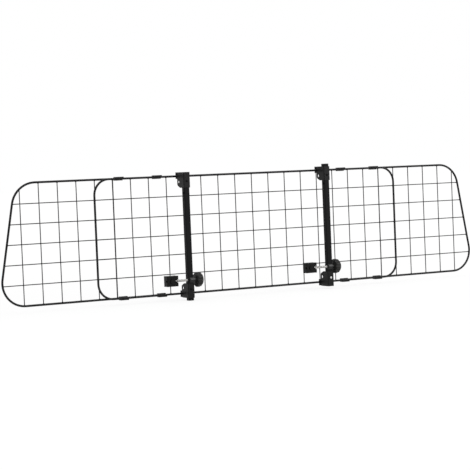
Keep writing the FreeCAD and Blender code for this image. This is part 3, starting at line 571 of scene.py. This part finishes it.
class GUARD_OT_mouldings(GuardOperator, bpy.types.Operator):
    """Round the edges of hooks, caps, clips, jaws and saddles, as they leave the mould"""

    bl_idname = "guard.mouldings"
    bl_label = "Hooks, Clips, Caps, Jaws and Saddles"

    RIM = 0.75  # an edge further out than this share of the saddle's radius is on its rim

    def round_shoulder(self, saddle, node, width):
        """Round the saddle's outer rim at the end that faces away from the knob."""
        low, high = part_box(node)
        middle_y, radius = (low.y + high.y) / 2, (high.y - low.y) / 2
        with editing(saddle):
            pick(saddle, "edges", lambda middle: middle.x < low.x + CLOSE
                 and abs(middle.y - middle_y) > radius * self.RIM)
            bpy.ops.mesh.bevel(offset=width, segments=6, profile=0.5)

    def execute(self, context):
        sizes = context.scene.guard_sizes
        for side in SIDES:
            rows = [(f"{side}_fixed_hook", f"{side}_post", sizes.hook_edge),
                    (f"{side}_slide_hook", f"{side}_slide_hook", sizes.hook_edge),
                    (f"{side}_post_cap", f"{side}_post", sizes.clip_edge)]
            rows += [(f"{side}_{height}_{place}_clip", f"{side}_wing", sizes.clip_edge)
                     for height in ("top", "bottom") for place in ("outer", "inner")]
            for node, body, edge in rows:
                piece = copy_of_node(node, f"{node}_moulding")
                soften(piece, edge)
                hand_over(piece, body, "moulded_black", "hook_plastic", (node,))

            node = f"{side}_clamp_jaw"
            jaw = copy_of_node(node, f"{node}_moulding")
            soften(jaw, sizes.jaw_edge)
            hand_over(jaw, f"{side}_jaw", "knob_plastic", "jaw_plastic", (node,))

            node = f"{side}_clamp_saddle"
            saddle = copy_of_node(node, f"{node}_moulding")
            self.round_shoulder(saddle, node, sizes.saddle_round)
            soften(saddle, sizes.jaw_edge)
            hand_over(saddle, f"{side}_clamp", "knob_plastic", "saddle_plastic", (node,))
        return {"FINISHED"}


class GUARD_OT_fasteners(GuardOperator, bpy.types.Operator):
    """Cut the threads of the studs and finish the screws, nuts and washers"""

    bl_idname = "guard.fasteners"
    bl_label = "Studs, Screws, Nuts and Washers"

    STUD_STEPS = 14  # of the thread's sweep, in one turn
    CREST_START, CREST_END = 0.42, 0.58  # in pitches from the root
    SPARE_TURNS = 2
    CUT_OFF = 1.5  # what the first cut takes off the sweep, in pitches
    TIP_TAPER = 0.78  # the tip's radius as a share of the thread's
    RECESS_TAPER = 0.5  # the recess's size at its bottom as a share of that at its mouth

    def thread(self, sizes, name, node, body):
        low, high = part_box(node)
        reach = high.x - low.x
        crest = (high.z - low.z) / 2
        root = crest - sizes.thread_depth
        pitch, tip = sizes.thread_pitch, sizes.stud_tip

        # One pitch in section, from a square with one side taken out: the root's, below
        stud = added(bpy.ops.mesh.primitive_circle_add, vertices=4, radius=crest)
        section = ((root, 0.0), (crest, self.CREST_START), (crest, self.CREST_END), (root, 1.0))
        with editing(stud):
            mesh = bmesh.from_edit_mesh(stud.data)
            mesh.verts.ensure_lookup_table()
            for vertex, (radius, share) in zip(mesh.verts, section):
                vertex.co = Vector((share * pitch, 0, radius))
            bmesh.update_edit_mesh(stud.data)
            pick(stud, "edges", lambda middle: abs(middle.z - root) < CLOSE)
            bpy.ops.mesh.delete(type="EDGE")

        apply_modifier(stud, "SCREW", axis="X", angle=math.tau, steps=self.STUD_STEPS,
                       render_steps=self.STUD_STEPS, screw_offset=pitch,
                       iterations=math.ceil(reach / pitch) + self.SPARE_TURNS,
                       use_merge_vertices=False)
        start = pitch * self.CUT_OFF
        with editing(stud):
            bpy.ops.mesh.select_all(action="SELECT")
            bpy.ops.mesh.remove_doubles(threshold=0.005 * MM)
            for place, way in ((start, -1), (start + reach - tip, 1)):
                bpy.ops.mesh.select_all(action="SELECT")
                bpy.ops.mesh.bisect(plane_co=(place, 0, 0), plane_no=(way, 0, 0),
                                    use_fill=True, clear_outer=True)
            pick(stud, "faces", lambda middle, normal: normal.x < -FACING
                 and middle.x < start + CLOSE)
            extrude((-tip, 0, 0), (1, self.TIP_TAPER, self.TIP_TAPER))
            outward()
        stud.location = (low.x + tip - start, (low.y + high.y) / 2, (low.z + high.z) / 2)
        stud.name = name
        hand_over(settle(stud), body, "zinc_steel", "zinc_plate", (node,), smooth=50)

    def screw(self, sizes, name, node, body, slot, material):
        low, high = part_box(node)
        radius = (high.z - low.z) / 2
        rise = sizes.head_height
        screw = blank(bpy.ops.mesh.primitive_cylinder_add, vertices=32, radius=radius,
                      depth=rise, location=(0, rise / 2, 0), rotation=(QUARTER, 0, 0))
        with editing(screw):
            pick(screw, "edges", lambda middle: middle.y < CLOSE)
            bpy.ops.mesh.bevel(offset=sizes.head_round, segments=5, profile=0.5)
            pick(screw, "faces", lambda middle, normal: normal.y > FACING)
            bpy.ops.mesh.inset(thickness=radius - sizes.shank_radius)
            extrude((0, high.y - low.y - rise, 0))
        for turn in (QUARTER / 2, -QUARTER / 2):
            bar = blank(bpy.ops.mesh.primitive_cube_add, size=1.0, rotation=(0, turn, 0),
                        scale=(sizes.recess_length, sizes.recess_depth, sizes.recess_width))
            with editing(bar):
                pick(bar, "faces", lambda middle, normal: normal.y > FACING)
                bpy.ops.transform.resize(value=(self.RECESS_TAPER, 1, self.RECESS_TAPER))
            carve(screw, bar)
        screw.location = ((low.x + high.x) / 2, low.y, (low.z + high.z) / 2)
        screw.name = name
        settle(screw)
        with editing(screw):
            outward()
        hand_over(screw, body, slot, material, (node,), smooth=30)

    def execute(self, context):
        sizes = context.scene.guard_sizes
        black, plated = ("post_coat", "upright_coat"), ("zinc_steel", "zinc_plate")
        # Only the lower right screw is bright in the photo; the others are blackened
        for side, finish in zip(SIDES, (black, plated)):
            self.thread(sizes, f"{side}_threaded_stud", f"{side}_clamp_stud", f"{side}_knob")
            self.screw(sizes, f"{side}_fixed_pan_screw", f"{side}_fixed_hook_screw",
                       f"{side}_post", *finish)
            self.screw(sizes, f"{side}_slide_pan_screw", f"{side}_slide_hook_screw",
                       f"{side}_slide_hook", *black)
            for node, body in ((f"{side}_jaw_nut", f"{side}_jaw"),
                               (f"{side}_knob_washer", f"{side}_knob")):
                piece = copy_of_node(node, f"{node}_plated")
                soften(piece, sizes.metal_edge, 2)
                hand_over(piece, body, *plated, (node,))
        return {"FINISHED"}


class GUARD_OT_knobs(GuardOperator, bpy.types.Operator):
    """Build the star knobs: fluted rim, rounded lobes, dished face with a plug, and hub"""

    bl_idname = "guard.knobs"
    bl_label = "Star Knobs"

    DISH_SLOPE = 0.6  # how far the dish's wall leans out on its depth
    PLUG_RADIUS = 0.62  # as a share of the dish's radius
    PLUG_HEIGHT, PLUG_SUNK = 1.4, 0.9  # the plug's height and its middle's depth, in dish depths

    def star(self, sizes, rim, thickness):
        """The star part round the X axis, from X 0 to its thickness."""
        middle_x = thickness / 2
        disc = blank(bpy.ops.mesh.primitive_cylinder_add, vertices=180, radius=rim,
                     depth=thickness, location=(middle_x, 0, 0), rotation=(0, QUARTER, 0))
        with editing(disc):
            pick(disc, "edges", lambda middle: middle.x > thickness - CLOSE)
            bpy.ops.mesh.bevel(offset=sizes.knob_crown, segments=1)
            pick(disc, "edges", lambda middle: middle.x < CLOSE)
            bpy.ops.mesh.bevel(offset=sizes.knob_round, segments=1)

        axis = rim + sizes.flute_radius - sizes.flute_bite
        flute = blank(bpy.ops.mesh.primitive_cylinder_add, vertices=40,
                      radius=sizes.flute_radius, depth=thickness * 1.5,
                      location=(middle_x, -axis, 0), rotation=(0, QUARTER, 0))
        turns = [math.radians(LOBE_TURN) + math.tau * (step + 0.5) / LOBES
                 for step in range(LOBES)]
        flutes = joined([turned_copy(flute, (turn, 0, 0)) for turn in turns], "flutes")
        bpy.data.objects.remove(flute)
        carve(disc, flutes)
        apply_modifier(disc, "BEVEL", width=sizes.knob_edge, segments=5,
                       limit_method="ANGLE", angle_limit=math.radians(32))

        swell = 1 + sizes.knob_draft / rim
        with editing(disc):
            bpy.ops.mesh.select_all(action="SELECT")
            bpy.ops.mesh.bisect(plane_co=(middle_x, 0, 0), plane_no=(1, 0, 0))
            pick(disc, "verts", lambda place: abs(place.x - middle_x) < CLOSE)
            bpy.ops.transform.resize(value=(1, swell, swell))
        return disc

    def dish(self, sizes, disc, thickness):
        """Sink a dish into the outer face and close it with a domed plug."""
        radius, depth = sizes.dish_radius, sizes.dish_depth
        lean = depth * self.DISH_SLOPE
        pan = blank(bpy.ops.mesh.primitive_cone_add, vertices=64, radius1=radius - lean,
                    radius2=radius + lean, depth=depth * 2, location=(thickness, 0, 0),
                    rotation=(0, QUARTER, 0))
        carve(disc, pan)
        plug = blank(bpy.ops.mesh.primitive_cylinder_add, vertices=48,
                     radius=radius * self.PLUG_RADIUS, depth=depth * self.PLUG_HEIGHT,
                     location=(thickness - depth * self.PLUG_SUNK, 0, 0),
                     rotation=(0, QUARTER, 0))
        soften(plug, sizes.plug_edge, 4)
        return plug

    def execute(self, context):
        sizes = context.scene.guard_sizes
        hub_height = sizes.hub_height
        for side in SIDES:
            node = f"{side}_star_knob"
            low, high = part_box(node)
            stud_low, stud_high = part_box(f"{side}_clamp_stud")
            rim = ((high.z - low.z) + (high.y - low.y)) / 4
            thickness = high.x - low.x - hub_height
            disc = self.star(sizes, rim, thickness)
            plug = self.dish(sizes, disc, thickness)
            hub = blank(bpy.ops.mesh.primitive_cone_add, vertices=64,
                        radius1=sizes.hub_radius, radius2=sizes.hub_radius + sizes.hub_flare,
                        depth=hub_height, location=(-hub_height / 2, 0, 0),
                        rotation=(0, QUARTER, 0))
            knob = joined([disc, plug, hub], f"{side}_lobed_knob")
            knob.location = (low.x + hub_height, (stud_low.y + stud_high.y) / 2,
                             (stud_low.z + stud_high.z) / 2)
            settle(knob)
            with editing(knob):
                outward()
            hand_over(knob, f"{side}_knob", "knob_plastic", "star_plastic", (node,))
        return {"FINISHED"}


class GUARD_OT_stage(GuardOperator, bpy.types.Operator):
    """Set the floor, the soft lights, the white surroundings and the photo's camera"""

    bl_idname = "guard.stage"
    bl_label = "Stage"

    def floor(self, shade):
        floor = added(bpy.ops.mesh.primitive_plane_add, size=FLOOR_WIDTH)
        finish = Finish(bpy.data.materials.new("pale_floor"))
        mottle = finish.noise(finish.here(), 3.0)
        diffuse = finish.node("ShaderNodeBsdfDiffuse", None, {
            "Color": finish.blend(mottle, tone(shade, 0.99), tone(shade, 1.01))})["BSDF"]
        glow = finish.node("ShaderNodeEmission", None, {"Strength": FLOOR_GLOW})["Emission"]
        # Near the guard more of the real floor shows, so that its shadow does
        near = finish.node("ShaderNodeTexGradient", {"gradient_type": "SPHERICAL"}, {
            "Vector": finish.stretch(finish.here(), (1 / FLOOR_NEAR,) * 3)})["Fac"]
        share = finish.shows_background() * (FLOOR_GLOW_FAR - near * FLOOR_GLOW_FADE)
        shader = finish.node("ShaderNodeMixShader", None, {0: share, 1: diffuse, 2: glow})
        floor.data.materials.append(finish.surface(shader["Shader"]))
        floor.name = "floor"

    def surroundings(self, context):
        world = bpy.data.worlds.new("studio")
        context.scene.world = world
        finish = Finish(world)
        dim, white = (finish.node("ShaderNodeBackground", None, {
            "Color": (1, 1, 1, 1), "Strength": strength})["Background"]
            for strength in (WORLD_DIM, WORLD_WHITE))
        shader = finish.node("ShaderNodeMixShader", None, {
            0: finish.shows_background(), 1: dim, 2: white})["Shader"]
        finish.surface(shader, "ShaderNodeOutputWorld")

    def lamp(self, name, place, aim, width, power):
        lamp = added(bpy.ops.object.light_add, type="AREA", location=place)
        lamp.name = name
        lamp.data.shape = "SQUARE"
        lamp.data.size = width
        lamp.data.energy = power
        lamp.rotation_euler = (aim - Vector(place)).to_track_quat("-Z", "Y").to_euler()

    def camera(self, context, centre):
        camera = added(bpy.ops.object.camera_add, location=centre + CAMERA_STEP,
                       rotation=[math.radians(turn) for turn in CAMERA_TURN])
        camera.data.sensor_width = SENSOR_WIDTH
        camera.data.lens = CAMERA_LENS
        camera.data.clip_end = FLOOR_WIDTH
        context.scene.camera = camera

    def execute(self, context):
        context.scene.view_settings.view_transform = "Standard"
        low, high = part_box("centre_frame")
        centre = (low + high) / 2
        self.floor(context.scene.guard_colours.floor)
        self.surroundings(context)
        for name, place, width, power in LAMPS:
            self.lamp(name, place, centre, width, power)
        self.camera(context, centre)
        return {"FINISHED"}


OPERATORS = (GUARD_OT_finishes, GUARD_OT_welds, GUARD_OT_mouldings, GUARD_OT_fasteners,
             GUARD_OT_knobs, GUARD_OT_stage)


class GUARD_PT_sidebar(bpy.types.Panel):
    """The guard's steps, sizes and colours"""

    bl_idname = "GUARD_PT_sidebar"
    bl_label = "Dog Guard"
    bl_space_type = "VIEW_3D"
    bl_region_type = "UI"
    bl_category = "Dog Guard"

    def draw(self, context):
        steps = self.layout.column(align=True)
        for operator in OPERATORS:
            steps.operator(operator.bl_idname)
        for group in (context.scene.guard_sizes, context.scene.guard_colours):
            column = self.layout.column()
            for name in group.__annotations__:
                column.prop(group, name)


CLASSES = (GuardSizes, GuardColours, *OPERATORS, GUARD_PT_sidebar)


def register():
    for item in CLASSES:
        bpy.utils.register_class(item)
    bpy.types.Scene.guard_sizes = bpy.props.PointerProperty(type=GuardSizes)
    bpy.types.Scene.guard_colours = bpy.props.PointerProperty(type=GuardColours)


def unregister():
    del bpy.types.Scene.guard_colours
    del bpy.types.Scene.guard_sizes
    for item in reversed(CLASSES):
        bpy.utils.unregister_class(item)


def main():
    register()
    bpy.ops.guard.finishes()
    bpy.ops.guard.welds()
    bpy.ops.guard.mouldings()
    bpy.ops.guard.fasteners()
    bpy.ops.guard.knobs()
    bpy.ops.guard.stage()


if __name__ == "__main__":
    main()
